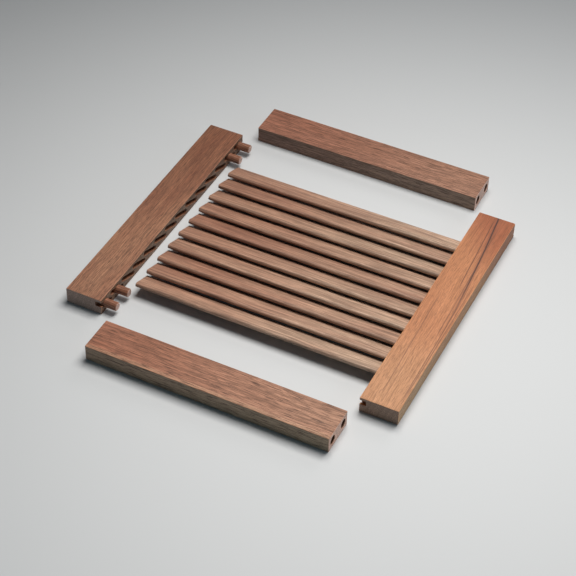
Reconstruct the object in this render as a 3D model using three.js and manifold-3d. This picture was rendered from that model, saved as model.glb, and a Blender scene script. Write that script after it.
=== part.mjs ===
// Slatted wooden bath mat that knocks down into loose pieces, laid out beside each other:
// two grooved stiles, two rails, tilted slats and round dowels. Millimetres, +Z up.
import * as THREE from 'three';
import { mergeVertices } from 'three/addons/utils/BufferGeometryUtils.js';
import Module from 'manifold-3d';

// The assembled mat
const MAT_WIDTH = 450;
const MAT_LENGTH = 400;
const THICKNESS = 24;
const STILE_WIDTH = 53;
const RAIL_WIDTH = 53;

// Slats, leaning with their front edge high
const SLAT_WIDTH = 34;
const SLAT_THICKNESS = 6.5;
const SLAT_COUNT = 10;
const SLAT_TILT = THREE.MathUtils.degToRad(20);
const SLAT_SEAT = 7.5;
const SLOT_DEPTH = 9;
// The same grooves run on behind the rails and out of the stiles' ends.
const SPARE_SLOTS_PER_END = 2;

// Dowels
const DOWEL_DIAMETER = 12;
const DOWEL_LENGTH = 42;
const DOWEL_STANDOUT = 18.5;
const DOWEL_CHAMFER = 1.2;
const DOWEL_INSET = 11.5;

// Fits
const END_GAP = 0.3;
// Between a rail and the slat beside it
const RAIL_SIDE_GAP = 0.33;
const SLOT_CLEARANCE = 0.3;
const BORE_CLEARANCE = 0.3;
const BORE_END_CLEARANCE = 1.5;
// Cutters pass this far beyond the face that they open.
const CUT_MARGIN = 2;

// How far each loose piece lies from its place in the mat: x to the right, y to the back
const LEFT_STILE_OFFSET = new THREE.Vector3(-28, 0, 0);
const BACK_RAIL_OFFSET = new THREE.Vector3(-16, 79, 0);
const FRONT_RAIL_OFFSET = new THREE.Vector3(-3.4, -80.3, 0);

// Facets
const ROUND_SEGMENTS = 32;
const NOSE_SEGMENTS = 8;

// Sizes that follow from the ones above. The stiles stand to the left and right of the opening,
// which is centred on x = 0 and starts at y = 0, the front of the mat.
const INSIDE_WIDTH = MAT_WIDTH - 2 * STILE_WIDTH;
const RAIL_LENGTH = INSIDE_WIDTH - 2 * END_GAP;
const SLAT_LENGTH = INSIDE_WIDTH + 2 * SLAT_SEAT;
const INSIDE_LENGTH = MAT_LENGTH - 2 * RAIL_WIDTH;
// How much of the mat's length one leaning slat covers, seen from above
const SLAT_COVER = (SLAT_WIDTH - SLAT_THICKNESS) * Math.cos(SLAT_TILT) + SLAT_THICKNESS;
const SLAT_PITCH = (INSIDE_LENGTH - SLAT_COVER - 2 * RAIL_SIDE_GAP) / (SLAT_COUNT - 1);
const DOWEL_SPACING = RAIL_WIDTH - 2 * DOWEL_INSET;
const RIGHT_FACE_X = INSIDE_WIDTH / 2;
const LEFT_FACE_X = -INSIDE_WIDTH / 2;
const MID_HEIGHT = THICKNESS / 2;
const BORE_RADIUS = DOWEL_DIAMETER / 2 + BORE_CLEARANCE;
const LEFT_BORE_DEPTH = DOWEL_LENGTH - DOWEL_STANDOUT + BORE_END_CLEARANCE;
const RIGHT_BORE_DEPTH = DOWEL_LENGTH + END_GAP + BORE_END_CLEARANCE;
const RAIL_BORE_DEPTH = DOWEL_STANDOUT + BORE_END_CLEARANCE;

const wasm = await Module();
wasm.setup();

const WOODS = {
  left_stile: 0x8a5a3c,
  right_stile: 0xa8683a,
  rail: 0x9a6a50,
  slat: 0xb08a66,
  dowel: 0x96593a,
};

function wood(name) {
  return new THREE.MeshStandardMaterial({ color: WOODS[name], roughness: 0.6, metalness: 0 });
}

function toManifold(geometry) {
  const bare = geometry.clone();
  bare.deleteAttribute('normal');
  bare.deleteAttribute('uv');
  const merged = mergeVertices(bare, 1e-5);
  return new wasm.Manifold(new wasm.Mesh({
    numProp: 3,
    vertProperties: new Float32Array(merged.attributes.position.array),
    triVerts: new Uint32Array(merged.index.array),
  }));
}

function fromManifold(solid) {
  const mesh = solid.getMesh();
  const geometry = new THREE.BufferGeometry();
  geometry.setAttribute('position', new THREE.BufferAttribute(mesh.vertProperties, 3));
  geometry.setIndex(new THREE.BufferAttribute(mesh.triVerts, 1));
  const faceted = geometry.toNonIndexed();
  faceted.computeVertexNormals();
  return faceted;
}

function board(x, y, sizeX, sizeY) {
  const geometry = new THREE.BoxGeometry(sizeX, sizeY, THICKNESS);
  geometry.translate(x + sizeX / 2, y + sizeY / 2, MID_HEIGHT);
  return geometry;
}

// A strip with fully rounded long edges, from x0 to x1, leaning about its own middle line
function strip(x0, x1, y, width, thickness) {
  const radius = thickness / 2;
  const reach = width / 2 - radius;
  const outline = new THREE.Shape();
  outline.absarc(reach, 0, radius, -Math.PI / 2, Math.PI / 2, false);
  outline.absarc(-reach, 0, radius, Math.PI / 2, 3 * Math.PI / 2, false);
  outline.closePath();
  const geometry = new THREE.ExtrudeGeometry(outline, {
    depth: x1 - x0,
    bevelEnabled: false,
    curveSegments: NOSE_SEGMENTS,
  });
  // The outline's x and y become the mat's y and z, and its depth becomes x.
  geometry.rotateX(Math.PI / 2);
  geometry.rotateZ(Math.PI / 2);
  geometry.rotateX(-SLAT_TILT);
  geometry.translate(x0, y, MID_HEIGHT);
  return geometry;
}

// A round bar along x whose ends are cut back by a chamfer
function bar(x0, x1, y, radius, chamfer) {
  const profile = [new THREE.Vector2(0, x0)];
  if (chamfer > 0) {
    profile.push(new THREE.Vector2(radius - chamfer, x0));
    profile.push(new THREE.Vector2(radius, x0 + chamfer));
    profile.push(new THREE.Vector2(radius, x1 - chamfer));
    profile.push(new THREE.Vector2(radius - chamfer, x1));
  } else {
    profile.push(new THREE.Vector2(radius, x0));
    profile.push(new THREE.Vector2(radius, x1));
  }
  profile.push(new THREE.Vector2(0, x1));
  const geometry = new THREE.LatheGeometry(profile, ROUND_SEGMENTS);
  geometry.rotateZ(-Math.PI / 2);
  geometry.translate(0, y, MID_HEIGHT);
  return geometry;
}

function cut(geometry, cutters) {
  let solid = toManifold(geometry);
  for (const cutter of cutters) {
    solid = solid.subtract(toManifold(cutter));
  }
  return fromManifold(solid);
}

// Where the slats and the dowels stand along the mat's length
const slatY = [];
for (let i = 0; i < SLAT_COUNT; i += 1) {
  slatY.push(MAT_LENGTH / 2 + (i - (SLAT_COUNT - 1) / 2) * SLAT_PITCH);
}
const slotY = [];
for (let i = -SPARE_SLOTS_PER_END; i < SLAT_COUNT + SPARE_SLOTS_PER_END; i += 1) {
  slotY.push(slatY[0] + i * SLAT_PITCH);
}
const dowelY = {
  front_outer: DOWEL_INSET,
  front_inner: DOWEL_INSET + DOWEL_SPACING,
  back_inner: MAT_LENGTH - DOWEL_INSET - DOWEL_SPACING,
  back_outer: MAT_LENGTH - DOWEL_INSET,
};

const group = new THREE.Group();
group.name = 'bath_mat';

function add(name, geometry, woodName, offset = new THREE.Vector3()) {
  const mesh = new THREE.Mesh(geometry, wood(woodName));
  mesh.name = name;
  mesh.position.copy(offset);
  group.add(mesh);
}

// side is +1 for the stile to the right of the opening and -1 for the one to the left.
function stile(side, boreDepth) {
  const faceX = side * INSIDE_WIDTH / 2;
  const from = (depth) => (side > 0 ? faceX - CUT_MARGIN : faceX - depth);
  const to = (depth) => (side > 0 ? faceX + depth : faceX + CUT_MARGIN);
  const cutters = [];
  for (const y of slotY) {
    cutters.push(strip(from(SLOT_DEPTH), to(SLOT_DEPTH), y,
      SLAT_WIDTH + 2 * SLOT_CLEARANCE, SLAT_THICKNESS + 2 * SLOT_CLEARANCE));
  }
  for (const y of Object.values(dowelY)) {
    cutters.push(bar(from(boreDepth), to(boreDepth), y, BORE_RADIUS, 0));
  }
  const startX = side > 0 ? faceX : faceX - STILE_WIDTH;
  return cut(board(startX, 0, STILE_WIDTH, MAT_LENGTH), cutters);
}

function rail(startY, boreYs) {
  const x0 = LEFT_FACE_X + END_GAP;
  const x1 = RIGHT_FACE_X - END_GAP;
  const cutters = [];
  for (const y of boreYs) {
    cutters.push(bar(x0 - CUT_MARGIN, x0 + RAIL_BORE_DEPTH, y, BORE_RADIUS, 0));
    cutters.push(bar(x1 - RAIL_BORE_DEPTH, x1 + CUT_MARGIN, y, BORE_RADIUS, 0));
  }
  return cut(board(x0, startY, RAIL_LENGTH, RAIL_WIDTH), cutters);
}

add('right_stile', stile(1, RIGHT_BORE_DEPTH), 'right_stile');
add('left_stile', stile(-1, LEFT_BORE_DEPTH), 'left_stile', LEFT_STILE_OFFSET);
add('back_rail', rail(MAT_LENGTH - RAIL_WIDTH, [dowelY.back_inner, dowelY.back_outer]), 'rail',
  BACK_RAIL_OFFSET);
add('front_rail', rail(0, [dowelY.front_outer, dowelY.front_inner]), 'rail', FRONT_RAIL_OFFSET);

slatY.forEach((y, i) => {
  const name = `slat_${String(i + 1).padStart(2, '0')}`;
  add(name, strip(-SLAT_LENGTH / 2, SLAT_LENGTH / 2, y, SLAT_WIDTH, SLAT_THICKNESS), 'slat');
});

for (const [place, y] of Object.entries(dowelY)) {
  // The left dowels stand out of the left stile, ready for the rails.
  const leftEnd = LEFT_FACE_X + DOWEL_STANDOUT;
  add(`left_dowel_${place}`, bar(leftEnd - DOWEL_LENGTH, leftEnd, y, DOWEL_DIAMETER / 2, DOWEL_CHAMFER),
    'dowel', LEFT_STILE_OFFSET);
  // The right dowels are pushed home in the right stile.
  const rightEnd = RIGHT_FACE_X + END_GAP;
  add(`right_dowel_${place}`, bar(rightEnd, rightEnd + DOWEL_LENGTH, y, DOWEL_DIAMETER / 2, DOWEL_CHAMFER),
    'dowel');
}

// The origin is at the middle of the whole layout, on the floor.
const minX = LEFT_FACE_X - STILE_WIDTH + LEFT_STILE_OFFSET.x;
const maxX = RIGHT_FACE_X + STILE_WIDTH;
const minY = FRONT_RAIL_OFFSET.y;
const maxY = MAT_LENGTH + BACK_RAIL_OFFSET.y;
group.position.set(-(minX + maxX) / 2, -(minY + maxY) / 2, 0);

export default group;
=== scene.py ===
"""Looks of the knock-down slatted wooden bath mat: eased boards, bullnosed slats, turned dowels,
open-pored hardwood, a pale floor and soft studio light."""

import math
import random

import bmesh
import bpy
from mathutils import Matrix, Vector


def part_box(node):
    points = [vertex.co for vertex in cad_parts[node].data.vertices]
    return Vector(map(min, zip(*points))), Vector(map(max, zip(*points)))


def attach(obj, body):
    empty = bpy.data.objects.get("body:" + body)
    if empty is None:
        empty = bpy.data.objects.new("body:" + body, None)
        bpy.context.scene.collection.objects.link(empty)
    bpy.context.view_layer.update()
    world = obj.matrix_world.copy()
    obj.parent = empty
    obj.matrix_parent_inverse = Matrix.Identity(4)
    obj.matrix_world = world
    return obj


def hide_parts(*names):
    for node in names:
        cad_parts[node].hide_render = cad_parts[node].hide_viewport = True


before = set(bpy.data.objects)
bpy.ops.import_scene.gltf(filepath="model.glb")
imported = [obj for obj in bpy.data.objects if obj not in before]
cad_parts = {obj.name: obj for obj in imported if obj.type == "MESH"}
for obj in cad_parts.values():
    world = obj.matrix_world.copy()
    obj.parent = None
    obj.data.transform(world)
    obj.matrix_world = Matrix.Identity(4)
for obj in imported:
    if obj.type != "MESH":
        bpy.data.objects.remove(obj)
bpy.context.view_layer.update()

MM = 0.001
SEED = 11

# The slats' section and lean, and the fits of what is cut for slats and dowels
SLAT_WIDTH = 34 * MM
SLAT_THICKNESS = 6.5 * MM
SLAT_TILT = math.radians(20)
SLOT_DEPTH = 9 * MM
SLOT_CLEARANCE = 0.3 * MM
SPARE_SLOTS_PER_END = 2
BORE_CLEARANCE = 0.3 * MM
BORE_END_CLEARANCE = 1.5 * MM
CUT_MARGIN = 3 * MM

# How far edges are rounded or cut back
BOARD_EASE = 1.0 * MM
BOARD_END_EASE = 0.5 * MM
SLAT_END_EASE = 0.6 * MM
BORE_MOUTH_EASE = 0.4 * MM
DOWEL_CHAMFER = 1.2 * MM
DOWEL_EDGE_EASE = 0.3 * MM
SMOOTH_LIMIT = math.radians(35)

SLATS = [f"slat_{i:02d}" for i in range(1, 11)]
PLACES = ("front_outer", "front_inner", "back_inner", "back_outer")
QUARTER_TURN = math.pi / 2


def middle(node):
    low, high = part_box(node)
    return (low + high) / 2


def extent(node):
    low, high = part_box(node)
    return high - low


# ---- Meshes


def mesh_object(name, bm):
    bmesh.ops.recalc_face_normals(bm, faces=bm.faces)
    mesh = bpy.data.meshes.new(name)
    bm.to_mesh(mesh)
    bm.free()
    piece = bpy.data.objects.new(name, mesh)
    bpy.context.scene.collection.objects.link(piece)
    return piece


def loft(name, rings):
    """A solid through rings of points, closed at both ends."""
    bm = bmesh.new()
    rows = [[bm.verts.new(point) for point in ring] for ring in rings]
    for a, b in zip(rows, rows[1:]):
        for k in range(len(a)):
            n = (k + 1) % len(a)
            bm.faces.new((a[k], a[n], b[n], b[k]))
    bm.faces.new(list(reversed(rows[0])))
    bm.faces.new(rows[-1])
    return mesh_object(name, bm)


def smooth(piece):
    """Smooth shading that keeps flat faces flat and real edges sharp."""
    bm = bmesh.new()
    bm.from_mesh(piece.data)
    for face in bm.faces:
        face.smooth = True
    for edge in bm.edges:
        edge.smooth = len(edge.link_faces) != 2 or edge.calc_face_angle() < SMOOTH_LIMIT
    bm.to_mesh(piece.data)
    bm.free()
    weighted = piece.modifiers.new("weighted_normals", "WEIGHTED_NORMAL")
    weighted.keep_sharp = True
    weighted.weight = 100


def rounded_outline(width, thickness, radius, steps=5):
    """(y, z) points round a rectangle with rounded corners."""
    points = []
    for corner in range(4):
        side_y, side_z = ((1, -1), (1, 1), (-1, 1), (-1, -1))[corner]
        centre_y = side_y * (width / 2 - radius)
        centre_z = side_z * (thickness / 2 - radius)
        for k in range(steps + 1):
            turn = QUARTER_TURN * (corner - 1 + k / steps)
            points.append((centre_y + radius * math.cos(turn), centre_z + radius * math.sin(turn)))
    return points


def eased_ends(half, ease):
    """(x, inset) from one end to the other of a piece whose ends are rounded by ease."""
    near = [(half - back, inset) for back, inset in quarter(ease)]
    return [(-x, inset) for x, inset in reversed(near)] + near


def eased_board(name, length, width, thickness):
    """A board about its own centre, lying along x, its long edges rounded more than its ends."""
    rings = []
    for x, inset in eased_ends(length / 2, BOARD_END_EASE):
        outline = rounded_outline(width - 2 * inset, thickness - 2 * inset, BOARD_EASE - inset)
        rings.append([(x, y, z) for y, z in outline])
    return loft(name, rings)


def nose_outline(width, thickness, lean=0.0, steps=14):
    """(y, z) points round a strip's section: flat faces between fully rounded edges."""
    radius = thickness / 2
    reach = width / 2 - radius
    points = []
    for side in (1, -1):
        for k in range(steps + 1):
            turn = math.pi * (k / steps - 0.5)
            y = side * (reach + radius * math.cos(turn))
            z = side * radius * math.sin(turn)
            points.append((y * math.cos(lean) - z * math.sin(lean),
                           y * math.sin(lean) + z * math.cos(lean)))
    return points


def circle_outline(radius, steps=48):
    turns = [2 * math.pi * k / steps for k in range(steps)]
    return [(radius * math.cos(t), radius * math.sin(t)) for t in turns]


def quarter(ease, steps=4):
    """(back from the end, in from the side) round a quarter circle, from the side to the end."""
    turns = [QUARTER_TURN * k / steps for k in range(steps + 1)]
    return [(ease * (1 - math.sin(t)), ease * (1 - math.cos(t))) for t in turns]


def cut_slot(x0, x1, y, z):
    outline = nose_outline(SLAT_WIDTH + 2 * SLOT_CLEARANCE, SLAT_THICKNESS + 2 * SLOT_CLEARANCE,
                           -SLAT_TILT)
    return loft("cutter", [[(x, y + a, z + b) for a, b in outline] for x in (x0, x1)])


def cut_bore(face_x, inward, depth, y, z):
    """A blind round hole with an eased mouth. inward is +1 or -1 along x."""
    radius = extent("left_dowel_front_outer").y / 2 + BORE_CLEARANCE
    stations = ((-CUT_MARGIN, BORE_MOUTH_EASE), (0, BORE_MOUTH_EASE),
                (BORE_MOUTH_EASE, 0), (depth, 0))
    rings = []
    for along, flare in stations:
        x = face_x + inward * along
        rings.append([(x, y + a, z + b) for a, b in circle_outline(radius + flare)])
    return loft("cutter", rings)


def carve(piece, cutters):
    """Takes the cutters away from the piece for good."""
    for cutter in cutters:
        step = piece.modifiers.new("cut", "BOOLEAN")
        step.operation = "DIFFERENCE"
        step.solver = "EXACT"
        step.object = cutter
    bpy.context.view_layer.update()
    depsgraph = bpy.context.evaluated_depsgraph_get()
    carved = bpy.data.meshes.new_from_object(piece.evaluated_get(depsgraph))
    piece.modifiers.clear()
    piece.data = carved
    for cutter in cutters:
        bpy.data.objects.remove(cutter)


# ---- Pieces

pieces = {}


def keep(piece, node, body):
    smooth(piece)
    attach(piece, body)
    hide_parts(node)
    pieces[node] = piece


slat_y = [middle(name).y for name in SLATS]
slat_pitch = (slat_y[-1] - slat_y[0]) / (len(SLATS) - 1)
slot_y = [slat_y[0] + slat_pitch * k
          for k in range(-SPARE_SLOTS_PER_END, len(SLATS) + SPARE_SLOTS_PER_END)]


def make_stile(side):
    """side is +1 for the right stile and -1 for the left one, which face each other."""
    node = "right_stile" if side > 0 else "left_stile"
    low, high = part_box(node)
    size, centre = high - low, middle(node)
    piece = eased_board(node + "_board", size.y, size.x, size.z)
    piece.location = centre
    piece.rotation_euler.z = QUARTER_TURN
    face_x = low.x if side > 0 else high.x
    ends = sorted((face_x - side * CUT_MARGIN, face_x + side * SLOT_DEPTH))
    shift_y = centre.y - middle("right_stile").y
    cutters = [cut_slot(*ends, y + shift_y, centre.z) for y in slot_y]
    for place in PLACES:
        dowel = ("right" if side > 0 else "left") + "_dowel_" + place
        dowel_low, dowel_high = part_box(dowel)
        bottom_x = dowel_high.x if side > 0 else dowel_low.x
        depth = abs(bottom_x - face_x) + BORE_END_CLEARANCE
        cutters.append(cut_bore(face_x, side, depth, middle(dowel).y, centre.z))
    carve(piece, cutters)
    keep(piece, node, node)


def make_rail(node):
    low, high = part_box(node)
    size, centre = high - low, middle(node)
    piece = eased_board(node + "_board", size.x, size.y, size.z)
    piece.location = centre
    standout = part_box("left_dowel_front_outer")[1].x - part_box("left_stile")[1].x
    spacing = middle("left_dowel_front_inner").y - middle("left_dowel_front_outer").y
    cutters = []
    for face_x, inward in ((low.x, 1), (high.x, -1)):
        for y in (centre.y - spacing / 2, centre.y + spacing / 2):
            cutters.append(cut_bore(face_x, inward, standout + BORE_END_CLEARANCE, y, centre.z))
    carve(piece, cutters)
    keep(piece, node, node)


def make_slat(node):
    half = extent(node).x / 2
    rings = []
    for x, inset in eased_ends(half, SLAT_END_EASE):
        outline = nose_outline(SLAT_WIDTH - 2 * inset, SLAT_THICKNESS - 2 * inset)
        rings.append([(x, y, z) for y, z in outline])
    piece = loft(node + "_wood", rings)
    piece.location = middle(node)
    piece.rotation_euler.x = -SLAT_TILT
    keep(piece, node, "right_stile")


def make_dowel(node, body, turn):
    size = extent(node)
    half, radius = size.x / 2, size.y / 2
    profile = [(half - DOWEL_CHAMFER - DOWEL_EDGE_EASE, 0),
               (half - DOWEL_CHAMFER, 0.12 * DOWEL_CHAMFER),
               (half - DOWEL_CHAMFER / 2, DOWEL_CHAMFER / 2),
               (half - 0.15 * DOWEL_CHAMFER, 0.9 * DOWEL_CHAMFER),
               (half, DOWEL_CHAMFER + DOWEL_EDGE_EASE)]
    sections = [(-x, inset) for x, inset in reversed(profile)] + profile
    rings = [[(x, y, z) for y, z in circle_outline(radius - inset, 64)] for x, inset in sections]
    piece = loft(node + "_turned", rings)
    piece.location = middle(node)
    piece.rotation_euler.x = turn
    keep(piece, node, body)


make_stile(1)
make_stile(-1)
make_rail("back_rail")
make_rail("front_rail")
for slat_node in SLATS:
    make_slat(slat_node)
dice = random.Random(SEED)
for place_name in PLACES:
    make_dowel("left_dowel_" + place_name, "left_stile", dice.uniform(0, math.pi))
    make_dowel("right_dowel_" + place_name, "right_dowels", dice.uniform(0, math.pi))


# ---- Wood

PLAIN = (1.0, 1.0, 1.0)

# Growth rings: millimetres from one to the next, and how far they tip out of the board's face
RING_GAP = 5.0
RING_LEAN = 0.35
# How far the grain wanders sideways, from one extreme of its noise to the other, in millimetres
GRAIN_WANDER = 14.0

# Each layer of noise: changes per millimetre along and across the grain, detail, roughness, and
# what it adds to the wood's seed
WANDER = (0.007, 0.012, 1.0, 0.5, 0.0)
PATCH = (0.012, 0.045, 2.0, 0.5, 5.7)
FIBRE = (0.018, 0.7, 3.0, 0.62, 8.3)
PORE = (0.05, 1.15, 1.0, 0.5, 12.9)
FINE_PORE = (0.12, 2.3, 1.0, 0.5, 17.2)
RING_SEED = 3.1
END_GRAIN_SEED = 21.0


def scaled(colour, share):
    return tuple(min(1, channel * share) for channel in colour)


class Shader:
    """Short names for building one material's nodes."""

    def __init__(self, name):
        self.material = bpy.data.materials.new(name)
        self.material.use_nodes = True
        self.tree = self.material.node_tree
        self.tree.nodes.clear()

    def node(self, kind, **settings):
        made = self.tree.nodes.new(kind)
        for key, value in settings.items():
            setattr(made, key, value)
        return made

    def feed(self, socket, value):
        if isinstance(value, bpy.types.NodeSocket):
            self.tree.links.new(value, socket)
        elif value is not None:
            socket.default_value = value

    def number(self, operation, a, b=None, c=None, clamp=False):
        made = self.node("ShaderNodeMath", operation=operation, use_clamp=clamp)
        for socket, value in zip(made.inputs, (a, b, c)):
            self.feed(socket, value)
        return made.outputs[0]

    def times(self, a, b):
        return self.number("MULTIPLY", a, b)

    def point(self, x, y, z):
        made = self.node("ShaderNodeCombineXYZ")
        for socket, value in zip(made.inputs, (x, y, z)):
            self.feed(socket, value)
        return made.outputs[0]

    def split(self, vector):
        made = self.node("ShaderNodeSeparateXYZ")
        self.feed(made.inputs[0], vector)
        return made.outputs

    def noise(self, place, detail, roughness, seed):
        made = self.node("ShaderNodeTexNoise", noise_dimensions="4D")
        self.feed(made.inputs["Vector"], place)
        made.inputs["W"].default_value = seed
        made.inputs["Scale"].default_value = 1.0
        made.inputs["Detail"].default_value = detail
        made.inputs["Roughness"].default_value = roughness
        return made.outputs["Fac"]

    def rise(self, value, start, end, low=0.0, high=1.0):
        """A smooth step from low to high as value goes from start to end."""
        made = self.node("ShaderNodeMapRange", interpolation_type="SMOOTHSTEP")
        for key, number in (("Value", value), ("From Min", start), ("From Max", end),
                            ("To Min", low), ("To Max", high)):
            self.feed(made.inputs[key], number)
        return made.outputs["Result"]

    def blend(self, share, a, b, kind="MIX"):
        made = self.node("ShaderNodeMix", data_type="RGBA", blend_type=kind)
        self.feed(made.inputs["Factor"], share)
        self.feed(made.inputs["A"], (*a, 1) if isinstance(a, tuple) else a)
        self.feed(made.inputs["B"], (*b, 1) if isinstance(b, tuple) else b)
        return made.outputs["Result"]

    def tint(self, colour, by):
        return self.blend(1.0, colour, by, "MULTIPLY")

    def brighten(self, colour, share):
        made = self.node("ShaderNodeVectorMath", operation="SCALE")
        self.feed(made.inputs[0], colour)
        self.feed(made.inputs["Scale"], share)
        return made.outputs[0]


class WoodShader(Shader):
    """A shader for a piece whose grain runs along its own x.

    x, y and z are millimetres from the piece's middle, and sideways is y bent by the wandering
    grain. facing_x, facing_y and facing_z say how squarely the surface faces each axis."""

    def __init__(self, name, seed):
        super().__init__(name)
        self.seed = seed
        place = self.node("ShaderNodeTexCoord")
        self.x, self.y, self.z = (self.number("DIVIDE", part, MM)
                                  for part in self.split(place.outputs["Object"]))
        self.facing_x, self.facing_y, self.facing_z = (
            self.number("ABSOLUTE", part) for part in self.split(place.outputs["Normal"]))
        self.sideways = self.y
        wander = self.number("SUBTRACT", self.layer(WANDER), 0.5)
        self.sideways = self.number("MULTIPLY_ADD", wander, GRAIN_WANDER, self.y)

    def layer(self, settings, grain=1.0):
        """Noise drawn out along the grain, finer as grain grows."""
        per_x, per_side, detail, roughness, seed_step = settings
        place = self.point(self.times(self.x, per_x * grain),
                           self.times(self.sideways, per_side * grain),
                           self.times(self.z, per_side * grain))
        return self.noise(place, detail, roughness, self.seed + seed_step)

    def rings(self):
        """1 in the dark part of each growth ring."""
        flat = self.times(self.sideways, math.cos(RING_LEAN))
        across = self.number("MULTIPLY_ADD", self.z, math.sin(RING_LEAN), flat)
        place = self.point(self.times(self.x, 0.004), self.number("DIVIDE", across, RING_GAP), 0.0)
        return self.rise(self.noise(place, 4.0, 0.62, self.seed + RING_SEED), 0.62, 0.36)

    def open_pores(self, grain):
        coarse = self.rise(self.layer(PORE, grain), 0.52, 0.66)
        fine = self.rise(self.layer(FINE_PORE, grain), 0.54, 0.68)
        return self.number("MAXIMUM", coarse, self.times(fine, 0.8))

    def cut_end(self, base, brightness, dark_ring):
        """The colour of end grain: rings and pores cut across."""
        place = self.point(0.0, self.times(self.y, 0.7), self.times(self.z, 0.9))
        dots = self.noise(place, 3.0, 0.7, self.seed + END_GRAIN_SEED)
        cut_wood = tuple(0.55 * channel + 0.12 for channel in base)
        dark = scaled(cut_wood, 0.5 * brightness)
        colour = self.blend(self.rise(dots, 0.4, 0.6), dark, scaled(cut_wood, 1.3 * brightness))
        return self.blend(self.times(dark_ring, 0.4), colour, dark)

    def rounded_edges(self):
        """1 on a square board's rounded edges and 0 on its flat faces."""
        flat = self.number("MAXIMUM", self.facing_z,
                           self.number("MAXIMUM", self.facing_x, self.facing_y))
        return self.rise(flat, 0.98, 0.86)

    def inside(self, size):
        """1 on surfaces that lie deeper than a board's own faces, such as the walls of a bore."""
        share = 1.0
        for place, length in zip((self.x, self.y, self.z), size):
            depth = self.number("SUBTRACT", length / MM / 2, self.number("ABSOLUTE", place))
            share = self.times(self.rise(depth, 0.5, 1.5), share)
        return share

    def finish(self, colour, fibre, open_pore):
        surface = self.node("ShaderNodeBsdfPrincipled")
        self.feed(surface.inputs["Base Color"], colour)
        self.feed(surface.inputs["Roughness"], self.rise(fibre, 0.3, 0.7, 0.62, 0.48))
        surface.inputs["Specular IOR Level"].default_value = 0.4
        bump = self.node("ShaderNodeBump")
        bump.inputs["Strength"].default_value = 0.5
        bump.inputs["Distance"].default_value = 0.12 * MM
        height = self.number("MULTIPLY_ADD", open_pore, -1.0, self.times(fibre, 0.5))
        self.feed(bump.inputs["Height"], height)
        self.feed(surface.inputs["Normal"], bump.outputs[0])
        out = self.node("ShaderNodeOutputMaterial")
        self.feed(out.inputs["Surface"], surface.outputs[0])
        return self.material


def timber(name, base, warm, seed, pores=0.5, figure=0.5, patches=0.5, painted_light_tints=(PLAIN, PLAIN),
           reach=170.0, end_brightness=1.0, side_bounce_tint=PLAIN, grain=1.0, edge_highlight=0.0, bore_shade_size=None,
           marks_and_light=None):
    """Open-pored hardwood whose grain runs along the object's x.

    base and warm are the wood's two colours; pores, figure and patches are strengths from 0 to 1.
    tints are painted light and shade: they multiply the colour at x = -reach and +reach, for light
    that falls off along the piece and a painted sheen at its brighter end. end_brightness is the
    cut ends' brightness; on the rails and dowels it is raised to paint a highlight on their ends.
    side_bounce_tint paints cool bounce light on the narrow side faces. grain makes pores and
    fibres finer as it grows.
    worn paints a highlight on a square board's rounded edges. bored is the (length, width,
    thickness) of a board whose bores are darkened inside with painted shade. vein adds marks and
    painted light and shade, and returns the colour."""
    s = WoodShader(name, seed)
    patch = s.layer(PATCH)
    fibre = s.layer(FIBRE, grain)
    dark_ring = s.rings()
    open_pore = s.open_pores(grain)

    colour = s.blend(s.rise(patch, 0.28, 0.72), base, warm)
    colour = s.blend(patches * 0.6, base, colour)
    colour = s.blend(s.times(dark_ring, 0.35 * figure), colour, scaled(warm, 0.55))
    fibre_tone = s.rise(fibre, 0.32, 0.68, 1 - 0.5 * figure, 1 + 0.38 * figure)
    colour = s.brighten(colour, fibre_tone)
    # The tints paint light that falls off along the piece and a sheen at its brighter end. The
    # change from one end's tint to the other's is uneven, pushed about by the patches.
    place = s.number("MULTIPLY_ADD", s.number("SUBTRACT", patch, 0.5), 120.0, s.x)
    colour = s.tint(colour, s.blend(s.rise(place, -reach, reach), *painted_light_tints))
    if marks_and_light:
        colour = marks_and_light(s, colour)
    colour = s.blend(s.times(open_pore, pores), colour, scaled(warm, 0.30))

    # Painted cool bounce light and reflection on the narrow side faces.
    colour = s.blend(s.rise(s.facing_y, 0.75, 0.95), colour, s.tint(colour, side_bounce_tint))
    colour = s.blend(s.rise(s.facing_x, 0.6, 0.85), colour, s.cut_end(base, end_brightness, dark_ring))
    # Painted highlight on the rounded edges, broken up by the fibres.
    if edge_highlight:
        highlit_edges = s.times(s.rounded_edges(), s.rise(fibre, 0.3, 0.6, 0.4, 1.0))
        colour = s.blend(s.times(highlit_edges, edge_highlight), colour, scaled(base, 1.5))
    # Painted shade: the walls inside the bores are darkened almost to black.
    if bore_shade_size:
        colour = s.blend(s.times(s.inside(bore_shade_size), 0.8), colour, scaled(warm, 0.1))
    return s.finish(colour, fibre, open_pore)


STREAK_HALO = (0.20, 0.055, 0.03)
STREAK_CORE = (0.045, 0.016, 0.014)
LINE_COLOUR = (0.13, 0.045, 0.025)
# Thin dark lines on the right stile, in millimetres from its middle: where a line would cross
# x = 0, how far it drifts sideways per millimetre, where it starts and ends, and its strength
LINES = ((-10.0, 0.06, 30.0, 205.0, 0.9),
         (-13.5, 0.02, 110.0, 200.0, 0.5),
         (4.0, 0.02, 90.0, 205.0, 0.35),
         (14.0, 0.01, 60.0, 205.0, 0.3),
         (10.5, 0.03, -190.0, 30.0, 0.55),
         (-14.5, 0.02, -70.0, 100.0, 0.6),
         (-19.5, 0.012, -190.0, 30.0, 0.65),
         (-23.0, 0.0, -190.0, 70.0, 0.55),
         (3.0, 0.02, -205.0, -90.0, 0.35))
LINE_FADE = 30.0


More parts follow.
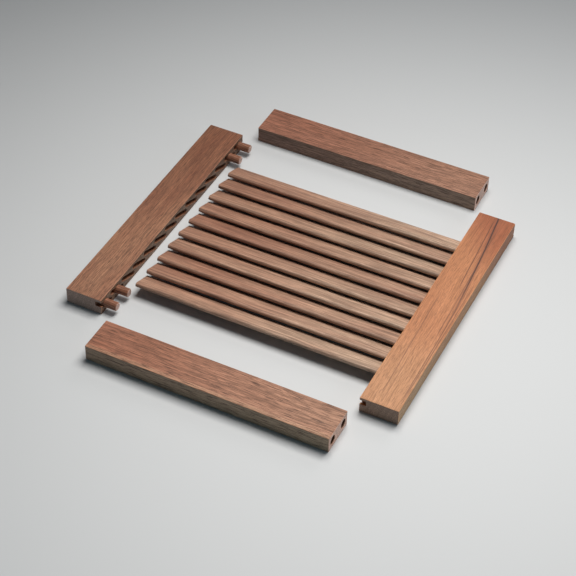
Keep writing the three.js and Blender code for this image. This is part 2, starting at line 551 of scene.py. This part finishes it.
def right_stile_marks_and_shade(s, colour):
    """A back end of redder wood, darkened further as painted shade, and a long dark streak that
    drifts outwards towards the front.
    """
    # The back end is the wood's own redder colour; these tints also darken it, which is painted
    # shade.
    redder_shaded_back = s.rise(s.x, -150.0, -30.0)
    colour = s.blend(redder_shaded_back, colour, s.tint(colour, (0.96, 0.81, 0.74)))
    redness = s.rise(s.number("MULTIPLY_ADD", s.y, -1.2, s.x), 80.0, 190.0, 0.0, 0.8)
    colour = s.blend(redness, colour, s.tint(colour, (0.68, 0.46, 0.44)))

    def distance(line, wobble_share):
        bent = s.number("MULTIPLY_ADD", s.number("SUBTRACT", s.sideways, s.y), wobble_share, s.y)
        return s.number("ABSOLUTE", s.number("SUBTRACT", bent, line))

    along = s.number("DIVIDE", s.number("ADD", s.x, 57.0), 257.0, clamp=True)
    streak = s.number("MULTIPLY_ADD", s.number("POWER", along, 1.6), 18.0, -20.2)
    off = distance(streak, 0.15)
    fade = s.rise(s.x, -70.0, 90.0)
    colour = s.blend(s.times(s.rise(off, 5.0, 0.5, 0.0, 0.5), fade), colour, STREAK_HALO)
    colour = s.blend(s.times(s.rise(off, 1.4, 0.5, 0.0, 0.95), fade), colour, STREAK_CORE)
    for line_y, drift, start, end, strength in LINES:
        off = distance(s.number("ADD", s.times(s.x, drift), line_y), 0.3)
        ends = s.times(s.rise(s.x, start, start + LINE_FADE), s.rise(s.x, end, end - LINE_FADE))
        mark = s.times(s.rise(off, 0.9, 0.4, 0.0, strength), ends)
        colour = s.blend(mark, colour, LINE_COLOUR)
    return colour


def front_rail_edge_highlight(s, colour):
    """A painted highlight: a paler band along the front edge."""
    edge = s.number("MULTIPLY_ADD", s.number("SUBTRACT", s.sideways, s.y), 0.25, s.y)
    return s.blend(s.rise(edge, -19.0, -23.5, 0.0, 0.4), colour, (0.60, 0.36, 0.22))


def finish_with(nodes, material):
    for node in nodes:
        mesh = pieces[node].data
        mesh.materials.clear()
        mesh.materials.append(material)


# Painted cool bounce light for the side faces of the left stile and the rails.
COOL_BOUNCE_SIDES = (0.75, 0.98, 1.10)
# Painted light that falls off towards the left ends, and a painted sheen at the right ends.
RAIL_PAINTED_LIGHT = ((0.84, 0.73, 0.73), (0.93, 1.0, 1.02))
SLAT_PAINTED_LIGHT = ((0.74, 0.73, 0.78), (0.88, 1.06, 1.20))
# Each slat's brightness and how far it leans to the redder wood, from the front
SLAT_TONES = ((1.05, 0.4), (1.0, 0.8), (0.95, 1.1), (1.04, 0.4), (0.98, 0.7),
              (0.92, 1.2), (1.0, 0.9), (0.99, 0.4), (0.95, 1.0), (1.02, 0.5))

# Below, tints, side_bounce_tint, worn and bored add painted light and shade to the woods' own
# colours.
finish_with(["right_stile"],
            timber("wood_right_stile", (0.54, 0.262, 0.125), (0.46, 0.195, 0.083), 1.0, pores=0.55,
                   figure=0.33, patches=0.6, end_brightness=0.8, side_bounce_tint=(0.95, 1.2, 1.3), grain=1.5,
                   edge_highlight=0.6, marks_and_light=right_stile_marks_and_shade))
finish_with(["left_stile"],
            timber("wood_left_stile", (0.36, 0.171, 0.098), (0.265, 0.101, 0.056), 2.0, pores=0.75,
                   figure=0.7, patches=1.0, painted_light_tints=((1.12, 1.16, 1.16), (0.84, 0.76, 0.72)),
                   end_brightness=1.1, side_bounce_tint=COOL_BOUNCE_SIDES, grain=1.5, edge_highlight=0.5))
# The rails' end_brightness of 2.0 paints a highlight on their end faces.
finish_with(["back_rail"],
            timber("wood_back_rail", (0.445, 0.218, 0.139), (0.335, 0.136, 0.076), 3.0, pores=0.95,
                   figure=0.7, patches=0.8, painted_light_tints=RAIL_PAINTED_LIGHT, end_brightness=2.0, side_bounce_tint=COOL_BOUNCE_SIDES,
                   edge_highlight=0.5, bore_shade_size=extent("back_rail")))
finish_with(["front_rail"],
            timber("wood_front_rail", (0.475, 0.226, 0.134), (0.335, 0.132, 0.069), 4.0, pores=1.0,
                   figure=0.75, patches=0.8, painted_light_tints=RAIL_PAINTED_LIGHT, end_brightness=2.0, side_bounce_tint=COOL_BOUNCE_SIDES,
                   edge_highlight=0.5, bore_shade_size=extent("front_rail"), marks_and_light=front_rail_edge_highlight))
for slat_seed, (slat_node, (tone, redness)) in enumerate(zip(SLATS, SLAT_TONES), start=10):
    light = scaled((0.595, 0.37 - 0.039 * redness, 0.24 - 0.033 * redness), tone)
    dark = scaled((0.46, 0.235 - 0.033 * redness, 0.145 - 0.022 * redness), tone)
    finish_with([slat_node],
                timber("wood_" + slat_node, light, dark, slat_seed, pores=0.45, figure=0.95,
                       patches=1.0, painted_light_tints=SLAT_PAINTED_LIGHT, reach=150.0, end_brightness=1.1))
# The dowels' end_brightness of 2.0 paints a highlight on their ends and chamfers.
finish_with([side + "_dowel_" + place for side in ("left", "right") for place in PLACES],
            timber("wood_dowels", (0.34, 0.145, 0.082), (0.25, 0.09, 0.05), 30.0, pores=0.6,
                   figure=0.9, end_brightness=2.0))


# ---- Room, lamps and camera

FLOOR_SIZE = 8.0
FLOOR_COLOUR = (0.62, 0.64, 0.66)


def floor():
    bm = bmesh.new()
    bmesh.ops.create_grid(bm, x_segments=1, y_segments=1, size=FLOOR_SIZE / 2)
    ground = mesh_object("floor", bm)
    s = Shader("floor_paper")
    surface = s.node("ShaderNodeBsdfPrincipled")
    surface.inputs["Base Color"].default_value = (*FLOOR_COLOUR, 1)
    surface.inputs["Roughness"].default_value = 0.9
    surface.inputs["Specular IOR Level"].default_value = 0.2
    out = s.node("ShaderNodeOutputMaterial")
    s.feed(out.inputs["Surface"], surface.outputs[0])
    ground.data.materials.append(s.material)


def aim(thing, target):
    thing.rotation_euler = (target - thing.location).to_track_quat("-Z", "Y").to_euler()


def lamp(name, place, target, size, power, colour, spread):
    """size is the lamp's width and height; spread is in degrees."""
    data = bpy.data.lights.new(name, "AREA")
    data.shape = "RECTANGLE"
    data.size, data.size_y = size
    data.energy = power
    data.color = colour
    data.spread = math.radians(spread)
    made = bpy.data.objects.new(name, data)
    bpy.context.scene.collection.objects.link(made)
    made.location = place
    aim(made, Vector(target))


floor()
lamp("key", place=(0.16, 0.30, 1.35), target=(0.38, -0.80, 0.0), size=(0.85, 0.85), power=17.0,
     colour=(1.0, 0.96, 0.91), spread=140)
lamp("sheen", place=(0.25, 1.75, 1.20), target=(0.15, 0.0, 0.0), size=(1.1, 0.7), power=5.0,
     colour=(1.0, 0.98, 0.96), spread=160)
lamp("side", place=(1.9, 0.1, 0.45), target=(0.0, 0.0, 0.05), size=(0.5, 1.4), power=5.0,
     colour=(0.80, 0.93, 1.0), spread=180)
lamp("fill", place=(-0.3, -2.2, 0.45), target=(0.0, 0.0, 0.05), size=(1.6, 0.4), power=2.2,
     colour=(0.20, 0.75, 1.0), spread=180)
world = bpy.data.worlds.new("studio")
bpy.context.scene.world = world
world.use_nodes = True
background = world.node_tree.nodes["Background"]
background.inputs["Color"].default_value = (0.80, 0.92, 1.0, 1)
background.inputs["Strength"].default_value = 0.06

AIM_POINT = Vector((0.008, -0.0395, 0.0))
VIEW_DISTANCE = 2.27
VIEW_AZIMUTH = math.radians(25.33)
VIEW_PITCH = math.radians(42.87)
VIEW_ROLL = math.radians(1.66)
LENS = 105.8
SENSOR = 36.0


def camera():
    back = Vector((math.cos(VIEW_PITCH) * math.sin(VIEW_AZIMUTH),
                   -math.cos(VIEW_PITCH) * math.cos(VIEW_AZIMUTH), math.sin(VIEW_PITCH)))
    level = Vector((0, 0, 1)).cross(back).normalized()
    upright = back.cross(level)
    right = math.cos(VIEW_ROLL) * level + math.sin(VIEW_ROLL) * upright
    up = back.cross(right)
    data = bpy.data.cameras.new("camera")
    data.lens = LENS
    data.sensor_width = SENSOR
    made = bpy.data.objects.new("camera", data)
    bpy.context.scene.collection.objects.link(made)
    made.matrix_world = (Matrix.Translation(AIM_POINT + VIEW_DISTANCE * back)
                         @ Matrix((right, up, back)).transposed().to_4x4())
    bpy.context.scene.camera = made


camera()
bpy.context.scene.view_settings.view_transform = "Standard"
